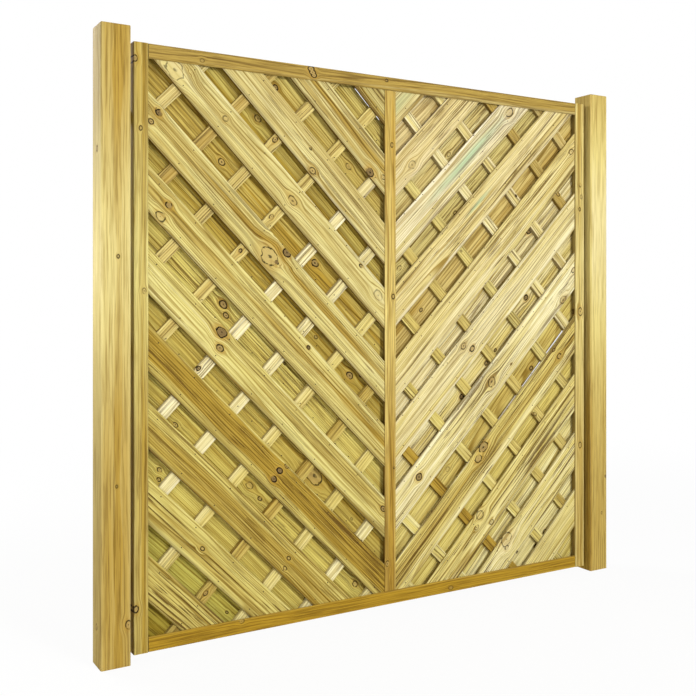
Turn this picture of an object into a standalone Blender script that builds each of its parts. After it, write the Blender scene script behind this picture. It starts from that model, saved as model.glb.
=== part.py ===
"""Chevron garden screen: a framed, double-sided timber panel held between two square posts.

Metres, +Z up. X runs along the panel, -Y is the front, and the posts stand on Z = 0 with the
origin midway between their feet. Slanting boards are nailed to both sides of a layer of slats,
so that each rear board covers the gap between two front boards. The layers end in grooves.
"""

import math

import bmesh
import bpy
from mathutils import Matrix, Vector

# Panel
panel_width = 1.8
panel_height = 1.8
ground_gap = 0.02

# Frame members: the face shows from the front, the depth runs from front to back
member_face = 0.044
stile_depth = 0.048
rail_depth = 0.044
muntin_depth = 0.040
stile_round = 0.003
rail_ease = 0.0015
rail_chamfer = 0.0035
muntin_ease = 0.0015
groove_depth = 0.012
groove_end_room = 0.002
shoulder_gap = 0.0015

# Infill boards and slats
board_width = 0.099
board_thickness = 0.008
board_ease = 0.001
slat_width = 0.038
slat_thickness = 0.016
tie_bite = 0.0025
boards_per_half = 11
run_angle = math.radians(45)

# Posts
post_side = 0.088
post_rise = 0.039
side_gap = 0.015
post_round = 0.005
post_top_ease = 0.002

# Angle brackets behind the panel
bracket_thickness = 0.002
bracket_height = 0.04
bracket_grip = 0.026
bracket_margin = 0.002
bracket_hole_radius = 0.0025
bracket_hole_sides = 12
brackets_per_side = 3

# Clearance between pieces that touch, how far cutters run past what they cut, and how near to a
# plane a corner counts as lying on it
seat = 0.0003
overrun = 0.01
on_plane = 0.000003

# Shares of the pitch: where each row starts, and how far hand-nailed boards and slats wander
front_start_share = 0.262
rear_start_share = 0.762
slat_start_share = 0.74
front_drift_left_shares = (0.05, 0.01, -0.01, 0.04, -0.045, 0.01, -0.04, -0.03, -0.025, 0.01, 0.02)
front_drift_right_shares = (0.03, -0.01, -0.015, 0.045, 0.01, 0.04, 0.035, -0.035, -0.01, 0.015, 0.05)
rear_drift_left_shares = (0.0, 0.02, -0.02, 0.0, 0.01, -0.05, 0.0, 0.0, 0.02, -0.01, 0.0)
rear_drift_right_shares = (0.0, 0.01, 0.0, 0.0, -0.02, 0.0, 0.02, -0.03, 0.01, 0.0, 0.0)
slat_drift_left_shares = (0.0, -0.01, 0.0, -0.02, -0.04, -0.045, -0.015, -0.055, -0.005, -0.02, -0.02)
slat_drift_right_shares = (0.0, 0.0, 0.0, 0.055, 0.05, 0.0, 0.0, -0.02, 0.0, -0.02, -0.01)
bracket_end_share = 0.12
bracket_hole_share = 0.28

# Boards that were nailed askew, and by how much each falls more steeply than the others
leans = {
    "front_board_right_03": math.radians(-0.6),
    "front_board_right_04": math.radians(-0.4),
    "front_board_right_05": math.radians(0.55),
    "rear_board_right_07": math.radians(0.5),
}

# Worked out from the sizes above
infill_depth = 2 * board_thickness + slat_thickness + 2 * seat
groove_width = infill_depth + 2 * seat
tenon_length = groove_depth - groove_end_room
reach = groove_depth - groove_end_room
tie_hold = reach - tie_bite
panel_bottom = ground_gap
panel_top = ground_gap + panel_height
opening_bottom = panel_bottom + member_face
opening_top = panel_top - member_face
opening_inner = member_face / 2
opening_outer = panel_width / 2 - member_face
opening_width = opening_outer - opening_inner
opening_height = opening_top - opening_bottom
post_inner = panel_width / 2 + side_gap
post_height = panel_top + post_rise

# The rows cross the opening square to the boards, so its two sides seen along them add up
across_boards = opening_width * math.sin(run_angle) + opening_height * math.cos(run_angle)
across_slats = opening_width * math.cos(run_angle) + opening_height * math.sin(run_angle)
board_pitch = across_boards / boards_per_half
slat_pitch = across_slats / boards_per_half
longest_run = 2 * (opening_width + opening_height)

board_layer = slat_thickness / 2 + seat + board_thickness / 2
sharp_angle = math.radians(30)
sides = {"left": -1, "right": 1}


def clear_scene():
    for obj in list(bpy.data.objects):
        bpy.data.objects.remove(obj, do_unlink=True)


def paint(name, colour, roughness, metallic=0.0):
    material = bpy.data.materials.new(name)
    material.use_nodes = True
    shader = material.node_tree.nodes["Principled BSDF"]
    shader.inputs["Base Color"].default_value = (*colour, 1)
    shader.inputs["Roughness"].default_value = roughness
    shader.inputs["Metallic"].default_value = metallic
    return material


def to_object(name, bm, material):
    """Turns the mesh in hand into a named object with its material, sharp only at real corners."""
    bmesh.ops.recalc_face_normals(bm, faces=bm.faces)
    mesh = bpy.data.meshes.new(name)
    bm.to_mesh(mesh)
    bm.free()
    mesh.materials.append(material)
    mesh.shade_smooth()
    mesh.set_sharp_from_angle(angle=sharp_angle)
    obj = bpy.data.objects.new(name, mesh)
    bpy.context.scene.collection.objects.link(obj)
    return obj


def as_helper(obj):
    obj.hide_render = True
    obj.display_type = "WIRE"
    return obj


def boolean(obj, helper, operation):
    modifier = obj.modifiers.new(helper.name, "BOOLEAN")
    modifier.operation = operation
    modifier.solver = "EXACT"
    modifier.object = helper


def add_block(bm, low, high):
    size = Vector(high) - Vector(low)
    centre = (Vector(high) + Vector(low)) / 2
    place = Matrix.Translation(centre) @ Matrix.Diagonal((*size, 1))
    return bmesh.ops.create_cube(bm, size=1, matrix=place)["verts"]


def extruded(outline, length):
    """A bar along +Z: the outline is a closed run of points in XY."""
    bm = bmesh.new()
    face = bm.faces.new([bm.verts.new((x, y, 0)) for x, y in outline])
    top = bmesh.ops.extrude_face_region(bm, geom=[face])["geom"]
    corners = [v for v in top if isinstance(v, bmesh.types.BMVert)]
    bmesh.ops.translate(bm, verts=corners, vec=(0, 0, length))
    bmesh.ops.recalc_face_normals(bm, faces=bm.faces)
    return bm


def long_edges(bm, keep):
    """The edges that run along Z whose place in XY passes the test."""
    found = []
    for edge in bm.edges:
        first, second = (v.co for v in edge.verts)
        upright = abs(first.x - second.x) < seat and abs(first.y - second.y) < seat
        if upright and keep(first.x, first.y):
            found.append(edge)
    return found


def edge_at(bm, at_x, at_y):
    return long_edges(bm, lambda x, y: abs(x - at_x) < seat and abs(y - at_y) < seat)


def bevel(bm, edges, offset, segments):
    bmesh.ops.bevel(
        bm, geom=edges, offset=offset, offset_type="OFFSET", segments=segments,
        profile=0.5, affect="EDGES", material=-1, clamp_overlap=True,
    )


def channel_outline(depth):
    """A member grooved on its inner face. X runs from the inner face out, Y from front to back."""
    half, wall = depth / 2, groove_width / 2
    return [
        (0, -half), (member_face, -half), (member_face, half), (0, half),
        (0, wall), (groove_depth, wall), (groove_depth, -wall), (0, -wall),
    ]


def double_channel_outline(depth):
    """A member grooved on both faces, with a web between the grooves."""
    half, wall, edge = depth / 2, groove_width / 2, member_face / 2
    web = edge - groove_depth
    return [
        (-edge, -half), (edge, -half), (edge, -wall), (web, -wall), (web, wall), (edge, wall),
        (edge, half), (-edge, half), (-edge, wall), (-web, wall), (-web, -wall), (-edge, -wall),
    ]


def cut_shoulders(obj, depth, length, turn):
    """Saws the cheeks off both ends, which leaves stub tenons as thick as the infill."""
    bm = bmesh.new()
    side = member_face + overrun
    for cheek in (-1, 1):
        near, far = cheek * infill_depth / 2, cheek * (depth / 2 + overrun)
        low_y, high_y = min(near, far), max(near, far)
        add_block(bm, (-side, low_y, -overrun), (side, high_y, tenon_length))
        add_block(bm, (-side, low_y, length - tenon_length), (side, high_y, length + overrun))
    bmesh.ops.transform(bm, matrix=turn, verts=bm.verts)
    cutter = as_helper(to_object(obj.name + "_shoulder_cutter", bm, obj.data.materials[0]))
    boolean(obj, cutter, "DIFFERENCE")


def clear_of_groove(x, y):
    return abs(y) > groove_width / 2 + seat


def make_stiles(wood):
    """Full-height uprights at the panel's edges, grooved from end to end."""
    for name, side in sides.items():
        bm = extruded(channel_outline(stile_depth), panel_height)
        bevel(bm, long_edges(bm, clear_of_groove), stile_round, 2)
        turn = Matrix.Translation((side * opening_outer, 0, panel_bottom))
        turn = turn @ Matrix.Diagonal((side, 1, 1, 1))
        bmesh.ops.transform(bm, matrix=turn, verts=bm.verts)
        to_object(f"stile_{name}", bm, wood)


def make_rails(wood):
    """Rails between the stiles. Each inner arris is chamfered, so that rain runs off the lower one."""
    shoulder = opening_outer - shoulder_gap
    length = 2 * (shoulder + tenon_length)
    for name, face_z, up in (("top", opening_top, 1), ("bottom", opening_bottom, -1)):
        bm = extruded(channel_outline(rail_depth), length)
        bevel(bm, long_edges(bm, lambda x, y: clear_of_groove(x, y) and x < seat), rail_chamfer, 1)
        outer = long_edges(bm, lambda x, y: clear_of_groove(x, y) and x > member_face - seat)
        bevel(bm, outer, rail_ease, 1)
        # The bar's +Z turns to +X, and its +X, away from the opening, to up or down
        turn = Matrix(((0, 0, 1, -length / 2), (0, 1, 0, 0), (up, 0, 0, face_z), (0, 0, 0, 1)))
        bmesh.ops.transform(bm, matrix=turn, verts=bm.verts)
        rail = to_object(f"rail_{name}", bm, wood)
        cut_shoulders(rail, rail_depth, length, turn)


def make_muntin(wood):
    """The middle upright, with stub tenons in the grooves of the rails."""
    length = opening_height - 2 * shoulder_gap + 2 * tenon_length
    bm = extruded(double_channel_outline(muntin_depth), length)
    bevel(bm, long_edges(bm, clear_of_groove), muntin_ease, 1)
    turn = Matrix.Translation((0, 0, opening_bottom + shoulder_gap - tenon_length))
    bmesh.ops.transform(bm, matrix=turn, verts=bm.verts)
    muntin = to_object("muntin", bm, wood)
    cut_shoulders(muntin, muntin_depth, length, turn)


def add_strip(bm, side, distance, width, low_y, high_y, slat=False, hold=reach, lean=0):
    """Adds one strip of a half's infill, sawn to the shape of the opening and its grooves.

    Boards run down towards the muntin, and their distance counts from the top corner beside it.
    Slats run square to them, and theirs counts from the top corner beside the stile. The ends
    go into the grooves by the hold.
    """
    half = longest_run / 2
    middle = (low_y + high_y) / 2
    verts = add_block(bm, (-half, low_y, -width / 2), (half, high_y, width / 2))
    if not slat:
        edges = {e for v in verts for e in v.link_edges}
        along = [e for e in edges if abs(e.verts[0].co.x - e.verts[1].co.x) > half]
        before = set(bm.verts) - set(verts)
        bevel(bm, along, board_ease, 1)
        verts = [v for v in bm.verts if v not in before]
    cos, sin = math.cos(run_angle), math.sin(run_angle)
    if slat:
        inward = opening_outer - distance * cos
        centre = Vector((side * inward, 0, opening_top - distance * sin))
        angle = side * (math.pi / 2 - run_angle)
    else:
        inward = opening_inner + distance * sin
        centre = Vector((side * inward, 0, opening_top - distance * cos))
        angle = -side * (run_angle + lean)
    turn = Matrix.Translation(centre) @ Matrix.Rotation(angle, 4, "Y")
    bmesh.ops.transform(bm, matrix=turn, verts=verts)
    trims = (
        ((side * (opening_inner - hold), middle, 0), (-side, 0, 0)),
        ((side * (opening_outer + hold), middle, 0), (side, 0, 0)),
        ((0, middle, opening_bottom - hold), (0, 0, -1)),
        ((0, middle, opening_top + hold), (0, 0, 1)),
    )
    for point, normal in trims:
        verts = saw(bm, verts, point, normal)
    return verts


def saw(bm, verts, point, normal):
    """Cuts off what lies beyond the plane, and closes the cut."""
    chosen = set(verts)
    edges = {e for v in chosen for e in v.link_edges}
    faces = {f for v in chosen for f in v.link_faces}
    others = set(bm.verts) - chosen
    cut = bmesh.ops.bisect_plane(
        bm, geom=[*chosen, *edges, *faces], dist=on_plane, plane_co=point, plane_no=normal,
        clear_outer=True,
    )
    rim = [e for e in cut["geom_cut"] if isinstance(e, bmesh.types.BMEdge)]
    if rim:
        bmesh.ops.edgeloop_fill(bm, edges=rim)
    return [v for v in bm.verts if v not in others]


def distances(start_share, pitch, drift_shares):
    """How far each strip of a row lies from its corner. A positive drift is towards the corner."""
    return [(start_share + number - drift) * pitch for number, drift in enumerate(drift_shares)]


def tie_numbers():
    """The two rear boards that between them cross every slat: those nearest the other corners."""
    top = opening_width * math.sin(run_angle) / board_pitch - rear_start_share
    bottom = opening_height * math.cos(run_angle) / board_pitch - rear_start_share
    return round(top), round(bottom)


def make_front_boards(half, side, wood):
    drifts = front_drift_left_shares if side < 0 else front_drift_right_shares
    low_y = -board_layer - board_thickness / 2
    for number, distance in enumerate(distances(front_start_share, board_pitch, drifts)):
        name = f"front_board_{half}_{number + 1:02d}"
        bm = bmesh.new()
        lean = leans.get(name, 0)
        add_strip(bm, side, distance, board_width, low_y, low_y + board_thickness, lean=lean)
        to_object(name, bm, wood)


def make_rear_layer(half, side, wood, slat_wood):
    """Rear boards, and the slats that two of them tie into one lattice."""
    drifts = rear_drift_left_shares if side < 0 else rear_drift_right_shares
    ties = bmesh.new()
    high_y = board_layer + board_thickness / 2
    for number, distance in enumerate(distances(rear_start_share, board_pitch, drifts)):
        if number in tie_numbers():
            low_y = slat_thickness / 2 - tie_bite
            add_strip(ties, side, distance, board_width, low_y, high_y, hold=tie_hold)
            continue
        name = f"rear_board_{half}_{number + 1:02d}"
        bm = bmesh.new()
        low_y = high_y - board_thickness
        add_strip(bm, side, distance, board_width, low_y, high_y, lean=leans.get(name, 0))
        to_object(name, bm, wood)
    slats = bmesh.new()
    drifts = slat_drift_left_shares if side < 0 else slat_drift_right_shares
    for distance in distances(slat_start_share, slat_pitch, drifts):
        half_thick = slat_thickness / 2
        add_strip(slats, side, distance, slat_width, -half_thick, half_thick, slat=True)
    lattice = to_object(f"slat_lattice_{half}", slats, slat_wood)
    boolean(lattice, as_helper(to_object(f"tie_boards_{half}", ties, wood)), "UNION")


def make_posts(wood):
    """Square posts with rounded arrises and eased tops, standing on their sawn feet."""
    for name, side in sides.items():
        bm = bmesh.new()
        near, far = side * post_inner, side * (post_inner + post_side)
        half = post_side / 2
        add_block(bm, (min(near, far), -half, 0), (max(near, far), half, post_height))
        bevel(bm, long_edges(bm, lambda x, y: True), post_round, 3)
        rim = [e for e in bm.edges if all(v.co.z > post_height - seat for v in e.verts)]
        bevel(bm, rim, post_top_ease, 1)
        to_object(f"post_{name}", bm, wood)


def bracket_heights():
    low = panel_bottom + bracket_end_share * panel_height
    high = panel_top - bracket_end_share * panel_height
    step = (high - low) / (brackets_per_side - 1)
    return [low + step * number for number in range(brackets_per_side)]


def make_brackets(steel):
    """Bent steel angles: one leg on the post beside the panel, the other behind the stile."""
    back = stile_depth / 2 + seat
    post_leg = (post_side - stile_depth) / 2 - bracket_margin
    panel_leg = side_gap + bracket_grip
    outline = [
        (0, back), (panel_leg, back), (panel_leg, back + bracket_thickness),
        (bracket_thickness, back + bracket_thickness),
        (bracket_thickness, back + post_leg), (0, back + post_leg),
    ]
    post_hole_y = back + (bracket_thickness + post_leg) / 2
    panel_hole_x = side_gap + bracket_grip / 2
    for name, side in sides.items():
        for number, height in enumerate(bracket_heights()):
            bm = extruded(outline, bracket_height)
            bevel(bm, edge_at(bm, 0, back), bracket_thickness, 3)
            inside = back + bracket_thickness
            bevel(bm, edge_at(bm, bracket_thickness, inside), bracket_thickness / 2, 2)
            low_z = height - bracket_height / 2
            place = Matrix.Translation((side * (post_inner - seat), 0, low_z))
            place = place @ Matrix.Diagonal((-side, 1, 1, 1))
            bmesh.ops.transform(bm, matrix=place, verts=bm.verts)
            bracket = to_object(f"bracket_{name}_{number + 1}", bm, steel)
            drill(bracket, place, post_hole_y, panel_hole_x, back)


def drill(bracket, place, post_hole_y, panel_hole_x, back):
    """Two screw holes in each leg, all cut by one helper."""
    bm = bmesh.new()
    depth = bracket_thickness + 2 * overrun
    offset = bracket_hole_share * bracket_height
    along_x = Matrix.Rotation(math.pi / 2, 4, "Y")
    along_y = Matrix.Rotation(math.pi / 2, 4, "X")
    for step in (-1, 1):
        z = bracket_height / 2 + step * offset
        in_post_leg = Matrix.Translation((bracket_thickness / 2, post_hole_y, z)) @ along_x
        in_panel_leg = Matrix.Translation(
            (panel_hole_x, back + bracket_thickness / 2, z)) @ along_y
        for matrix in (in_post_leg, in_panel_leg):
            bmesh.ops.create_cone(
                bm, cap_ends=True, segments=bracket_hole_sides, radius1=bracket_hole_radius,
                radius2=bracket_hole_radius, depth=depth, matrix=place @ matrix,
            )
    cutter = as_helper(to_object(bracket.name + "_drill", bm, bracket.data.materials[0]))
    boolean(bracket, cutter, "DIFFERENCE")


def main():
    clear_scene()
    frame_wood = paint("frame_wood", (0.62, 0.48, 0.22), 0.7)
    front_wood = paint("front_board_wood", (0.72, 0.62, 0.35), 0.75)
    rear_wood = paint("rear_board_wood", (0.5, 0.4, 0.16), 0.75)
    slat_wood = paint("slat_wood", (0.7, 0.62, 0.38), 0.75)
    post_wood = paint("post_wood", (0.6, 0.47, 0.2), 0.7)
    steel = paint("galvanised_steel", (0.6, 0.62, 0.62), 0.4, 1.0)
    make_posts(post_wood)
    make_stiles(frame_wood)
    make_rails(frame_wood)
    make_muntin(frame_wood)
    for half, side in sides.items():
        make_front_boards(half, side, front_wood)
        make_rear_layer(half, side, rear_wood, slat_wood)
    make_brackets(steel)


main()
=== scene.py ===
# %% [markdown]
# # A chevron garden screen in treated softwood
#
# The screen is a square timber panel between two posts. Slanting boards are nailed to both sides
# of a layer of slats, and a grooved frame holds the ends of all of them. The solid model gives
# every piece its size and place. This lesson cuts each piece again with more care, and gives the
# wood its rings, knots, heartwood and splits. The first cell loads the solid model.

# %% Load the solid model
import math
import random

import bmesh
import bpy
from mathutils import Matrix, Vector, noise


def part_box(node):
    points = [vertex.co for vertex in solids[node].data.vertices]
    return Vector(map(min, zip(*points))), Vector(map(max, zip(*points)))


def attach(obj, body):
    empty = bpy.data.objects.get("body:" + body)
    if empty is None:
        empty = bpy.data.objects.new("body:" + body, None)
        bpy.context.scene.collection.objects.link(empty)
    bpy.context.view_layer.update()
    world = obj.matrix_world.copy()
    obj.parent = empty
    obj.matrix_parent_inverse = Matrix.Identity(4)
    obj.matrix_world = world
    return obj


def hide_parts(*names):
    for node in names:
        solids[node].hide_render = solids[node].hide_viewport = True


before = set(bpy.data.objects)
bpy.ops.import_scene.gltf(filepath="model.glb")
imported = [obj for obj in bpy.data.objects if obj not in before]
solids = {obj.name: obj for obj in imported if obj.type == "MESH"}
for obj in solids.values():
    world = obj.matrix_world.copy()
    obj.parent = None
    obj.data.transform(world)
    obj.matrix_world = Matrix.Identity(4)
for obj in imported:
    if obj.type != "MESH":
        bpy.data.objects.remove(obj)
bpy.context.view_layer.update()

# %% [markdown]
# ## Camera
#
# The photograph was taken from the left, at about chest height, with a normal lens held level.
# The camera stands at the same place, and a small vertical shift keeps the uprights upright.

# %% Camera
sensor = 0.036
picture_side = 696
focal_pixels = 939.8
turn_to_right = math.radians(30.63)
horizon_above_middle = 53


def put_in_scene(name, data):
    thing = bpy.data.objects.new(name, data)
    bpy.context.scene.collection.objects.link(thing)
    return thing


camera_data = bpy.data.cameras.new("camera")
camera_data.sensor_width = sensor * 1000
camera_data.lens = camera_data.sensor_width * focal_pixels / picture_side
camera_data.shift_y = -horizon_above_middle / picture_side
camera = put_in_scene("camera", camera_data)
camera.location = (-1.763, -2.712, 1.076)
camera.rotation_euler = (math.radians(90), 0, -turn_to_right)
bpy.context.scene.camera = camera
bpy.context.scene.view_settings.view_transform = "Standard"
print("lens:", round(camera_data.lens, 1), "mm")

# %% [markdown]
# ## Laying shader nodes
#
# A finish is a chain of nodes, and most of them are small sums. What a node gives is a reading
# here, and sums on readings are written like sums on numbers. A bench lays a node for each call.
# It takes numbers, colours or readings, and hands back the new node's reading.

# %% The bench for shader nodes
def sum_node(operation):
    return lambda reading, *others: reading.bench.sum(operation, reading, *others)


class Reading:
    """What a node gives. Each sum on it lays a node."""

    def __init__(self, bench, socket):
        self.bench, self.socket = bench, socket

    def __getitem__(self, output):
        """Another reading of the same node."""
        return Reading(self.bench, self.socket.node.outputs[output])

    __add__, __sub__ = sum_node("ADD"), sum_node("SUBTRACT")
    __mul__, __truediv__ = sum_node("MULTIPLY"), sum_node("DIVIDE")
    __pow__, __abs__ = sum_node("POWER"), sum_node("ABSOLUTE")


class Bench:
    """Lays the nodes of one finish, and joins them as they are asked for."""

    def __init__(self, name, kept_in=bpy.data.materials):
        self.made = kept_in.new(name)
        self.made.use_nodes = True
        self.nodes = self.made.node_tree.nodes
        self.links = self.made.node_tree.links

    def join(self, node, given):
        for name, value in given:
            if isinstance(value, Reading):
                self.links.new(value.socket, node.inputs[name])
            else:
                node.inputs[name].default_value = value

    def lay(self, kind, given=(), **settings):
        node = self.nodes.new(kind)
        for name, setting in settings.items():
            setattr(node, name, setting)
        self.join(node, given)
        return Reading(self, node.outputs[0])

    def sum(self, operation, *given):
        return self.lay("ShaderNodeMath", enumerate(given), operation=operation)

    def arrow(self, operation, *given):
        """A sum on vectors, such as places and directions."""
        return self.lay("ShaderNodeVectorMath", enumerate(given), operation=operation)

    def place(self, *parts):
        return self.lay("ShaderNodeCombineXYZ", enumerate(parts))

    def parts(self, place):
        split = self.lay("ShaderNodeSeparateXYZ", [(0, place)])
        return [split[axis] for axis in range(3)]

    def length(self, *parts):
        return self.arrow("LENGTH", self.place(*parts))["Value"]

    def cloud(self, place, along, across, detail=2.0, roughness=0.5):
        """Noise from 0 to 1, with so many lumps to the metre along X and across it."""
        scaled = self.arrow("MULTIPLY", place, (along, across, across))
        given = [("Vector", scaled), ("Scale", 1.0), ("Detail", detail), ("Roughness", roughness)]
        return self.lay("ShaderNodeTexNoise", given)

    def toss(self, number):
        """A number from 0 to 1 that looks random, and is the same for the same number."""
        return self.lay("ShaderNodeTexWhiteNoise", [("W", number)], noise_dimensions="1D")["Value"]

    def step(self, value, low, high, at_low=0.0, at_high=1.0):
        """Eases from one value to another while the input goes from low to high."""
        given = enumerate((value, low, high, at_low, at_high))
        return self.lay("ShaderNodeMapRange", given, interpolation_type="SMOOTHSTEP")

    def blend(self, share, first, second, kind="MIX"):
        given = [(0, share), (6, first), (7, second)]
        return self.lay("ShaderNodeMix", given, data_type="RGBA", blend_type=kind)[2]

    def ramp(self, value, three_colours):
        """A colour that passes through three as the input goes from 0 to 1."""
        ramp = self.lay("ShaderNodeValToRGB", [(0, value)])
        stops = ramp.socket.node.color_ramp.elements
        stops.new(0.5)
        for stop, colour in zip(stops, three_colours):
            stop.color = colour
        return ramp

    def bump(self, strength, distance, height):
        given = [("Strength", strength), ("Distance", distance), ("Height", height)]
        return self.lay("ShaderNodeBump", given)

    def carried(self, name):
        return self.lay("ShaderNodeAttribute", attribute_name=name)

    def read(self, name):
        """Four numbers that a piece carries under a name."""
        carried = self.carried(name)
        return (*self.parts(carried["Vector"]), carried["Alpha"])


def shade(red, green, blue):
    """A colour as a paint chart gives it, from 0 to 255, made linear for the shader."""
    linear = [((part / 255 + 0.055) / 1.055) ** 2.4 for part in (red, green, blue)]
    return (*linear, 1.0)


white = (1, 1, 1, 1)
print("a pale board is", [round(part, 2) for part in shade(228, 212, 160)])

# %% [markdown]
# ## Floor, lamps and daylight
#
# Catalogue pictures of fencing stand on white paper under large soft lamps. The floor here is a
# pale disc. To the camera it is mostly white, so that it meets the white surround without a line,
# but it keeps the soft shadow of the posts. The strongest lamp stands straight in front, because
# in the photograph every board's shadow ends right behind its edge, in both halves. A weaker lamp
# above makes the upper sides of boards and slats lighter than their undersides. A small lamp close
# to the left post stands for the white card that lights its narrow side at mid height.

# %% Floor and surround
floor_radius = 14.0
floor_white = shade(238, 238, 236)
shadow_reach, shadow_end = 1.4, 4.5
shadow_white = 0.93
surround_light = 0.3


def seen_directly(bench):
    """1 where a ray comes straight from the camera, or by way of a mirror or glass."""
    rays = bench.lay("ShaderNodeLightPath")
    seen = bench.sum("MAXIMUM", rays["Is Camera Ray"], rays["Is Glossy Ray"])
    return bench.sum("MAXIMUM", seen, rays["Is Transmission Ray"])


def as_object(name, bm, finish):
    """Turns a worked mesh into an object with one finish."""
    mesh = bpy.data.meshes.new(name)
    bm.to_mesh(mesh)
    bm.free()
    mesh.materials.append(finish)
    return put_in_scene(name, mesh)


def make_floor():
    paper = Bench("floor_paper")
    east, north, _ = paper.parts(paper.lay("ShaderNodeTexCoord")["Object"])
    far = paper.step(paper.length(east, north), shadow_reach, shadow_end, shadow_white, 1.0)
    glow = paper.lay("ShaderNodeEmission", [("Color", white), ("Strength", 1.0)])
    matt = paper.lay("ShaderNodeBsdfDiffuse", [("Color", floor_white)])
    mixed = paper.lay("ShaderNodeMixShader", enumerate((far * seen_directly(paper), matt, glow)))
    paper.join(paper.nodes["Material Output"], [("Surface", mixed)])
    bm = bmesh.new()
    bmesh.ops.create_circle(bm, cap_ends=True, segments=96, radius=floor_radius)
    floor = as_object("floor", bm, paper.made)


make_floor()

sky = Bench("white_surround", bpy.data.worlds)
bpy.context.scene.world = sky.made
sky_light = sky.sum("MAXIMUM", seen_directly(sky), surround_light)
sky.join(sky.nodes["Background"], [("Strength", sky_light), ("Color", white)])

# %% Lamps
middle_of_panel = Vector((0, 0, 0.95))
lamps = {
    "key": ((0.5, -5.4, 2.4), 1.3, 196),
    "top": ((0.4, -3.0, 5.2), 1.6, 70),
    "left": ((-4.6, -3.2, 1.6), 1.6, 50),
    "card": ((-1.5, 0.0, 1.17), 0.2, 1.6),
    "back": ((-2.5, 4.2, 3.2), 3.0, 190),
}
for name, (place, size, watts) in lamps.items():
    lamp = bpy.data.lights.new(name, "AREA")
    lamp.shape = "DISK"
    lamp.size = size
    lamp.energy = watts
    holder = put_in_scene(name, lamp)
    holder.location = place
    holder.rotation_euler = (middle_of_panel - Vector(place)).to_track_quat("-Z", "Y").to_euler()
print("lamps:", ", ".join(lamps))

# %% [markdown]
# ## How softwood looks
#
# A tree trunk is a stack of thin cones, one a year: soft pale wood in spring, a thin hard dark
# line in summer. A board is a flat cut through them, so its figure follows from where the heart
# of the trunk lay. Every piece below carries that place with it, and the nodes work out how far
# each point was from the heart. This gives straight lines, arches and the arcs on sawn ends from
# one rule, and they agree on neighbouring faces.
#
# The pieces carry these numbers, all in metres and along their own grain:
#
# - grain: along, across and through the piece
# - log: where the heart lay across and behind, and how much that shifts along the piece
# - mood: how deep and how green the colour is, a number that sets pieces apart, ring spacing
# - heart: middle, half width and strength of the brown heartwood band, and how it wavers
# - tint: a green stain left by the treatment, along, across, radius and strength
# - pale: a painted pool of light along an upright: where it is palest, how far that reaches, how much
#   deeper it gets, and half the piece's width, since every rim is a little bleached
# - cast: a colour that the wood is multiplied by, and how dark its lower rim is painted in shade
# - knot_1 to knot_5: along, across, radius and darkness
# - skin: across, but counted round the piece where it is thick enough for knots on its sides

# %% Rings and knots
# Lumps to the metre along and across the grain, then detail and roughness
clouds = {
    "slow": (1.3, 7.0, 2.0), "wave": (3.2, 4.0, 2.0), "patches": (2.2, 14.0, 1.0),
    "uneven": (0.8, 30.0, 1.0), "wobble": (34.0, 58.0, 2.0), "broken": (60.0, 60.0, 1.0),
    "streak": (1.4, 85.0, 3.0, 0.6), "sharp": (0.6, 42.0, 1.0), "fibre": (5.0, 180.0, 3.0, 0.65),
    "fine": (2.0, 160.0, 2.0, 0.55), "dash": (8.0, 240.0, 1.0), "saw_marks": (420.0, 14.0, 1.0),
}
knot_names = ("knot_1", "knot_2", "knot_3", "knot_4", "knot_5")
knot_stretch = 1.35
years_wander = 2.2


def nearest_knot(bench, along, skin, wobble):
    """Radii to the nearest knot, its radius and darkness, and how far all knots push the rings."""
    nearest, push = None, 0.0
    for name in knot_names:
        knot_along, knot_across, radius, darkness = bench.read(name)
        north = skin - knot_across
        away = bench.length((along - knot_along) / knot_stretch, north) / radius + wobble
        push = north * bench.step(away, 0.6, 3.6, 0.8, 0.0) + push
        facts = bench.place(away, radius, darkness)
        if nearest:
            closer = bench.sum("LESS_THAN", away, bench.parts(nearest)[0])
            given = [(0, closer), (4, nearest), (5, facts)]
            facts = bench.lay("ShaderNodeMix", given, data_type="VECTOR")[1]
        nearest = facts
    return (*bench.parts(nearest), push)


def lay_rings(bench, along, across, deep, home):
    """0 in the pale spring wood and up to 1 in the dark summer wood of each ring."""
    heart_across, heart_deep, shift_across, shift_deep = bench.read("log")
    spacing = bench.read("mood")[3]
    side = across - heart_across - along * shift_across
    down = deep - heart_deep - along * shift_deep
    years = bench.length(side, down) / spacing
    years = bench.cloud(home, *clouds["uneven"]) * years_wander + years
    within = bench.sum("FRACT", years)
    summer = bench.step(within, 0.55, 0.88) * bench.step(within, 0.92, 1.0, 1.0, 0.0)
    return summer * bench.step(bench.toss(bench.sum("FLOOR", years)), 0.0, 1.0, 0.35, 1.0)


# %% [markdown]
# Spring and summer wood each have a ramp of three colours, from pale sapwood through straw to brown
# heartwood. A piece starts somewhere on the ramp, and slow clouds, long streaks and a band of
# heartwood move each point along it. Thin dark hairlines come where the surface has begun to
# check. Knots come last, since a knot's own colour hides the wood around it.

# %% The pine finish
spring_wood = (shade(240, 230, 186), shade(218, 200, 122), shade(176, 142, 56))
summer_wood = (shade(196, 174, 104), shade(156, 126, 50), shade(100, 70, 20))
moss = (0.8, 0.96, 0.76, 1.0)
stain_green = shade(158, 190, 150)
stain_stretch = 10.0
knot_core = (shade(206, 182, 120), shade(74, 48, 24))
knot_rim = shade(24, 16, 10)
knot_halo = shade(176, 138, 58)
knot_ring = 0.0016
knot_line = (0.0009, 0.0026)
hairline_brown = shade(88, 62, 22)
# Painted shade inside the splits
split_shade_dark = shade(44, 30, 12)
# A brown for painted shade on the narrow sides and the lower rims
painted_shade_brown = shade(96, 70, 24)
# Arrises are worn pale and also carry a painted highlight
arris_highlight_pale = shade(238, 224, 172)
rim_bleach = 0.08
bleached_rim = (0.003, 0.016)
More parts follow.
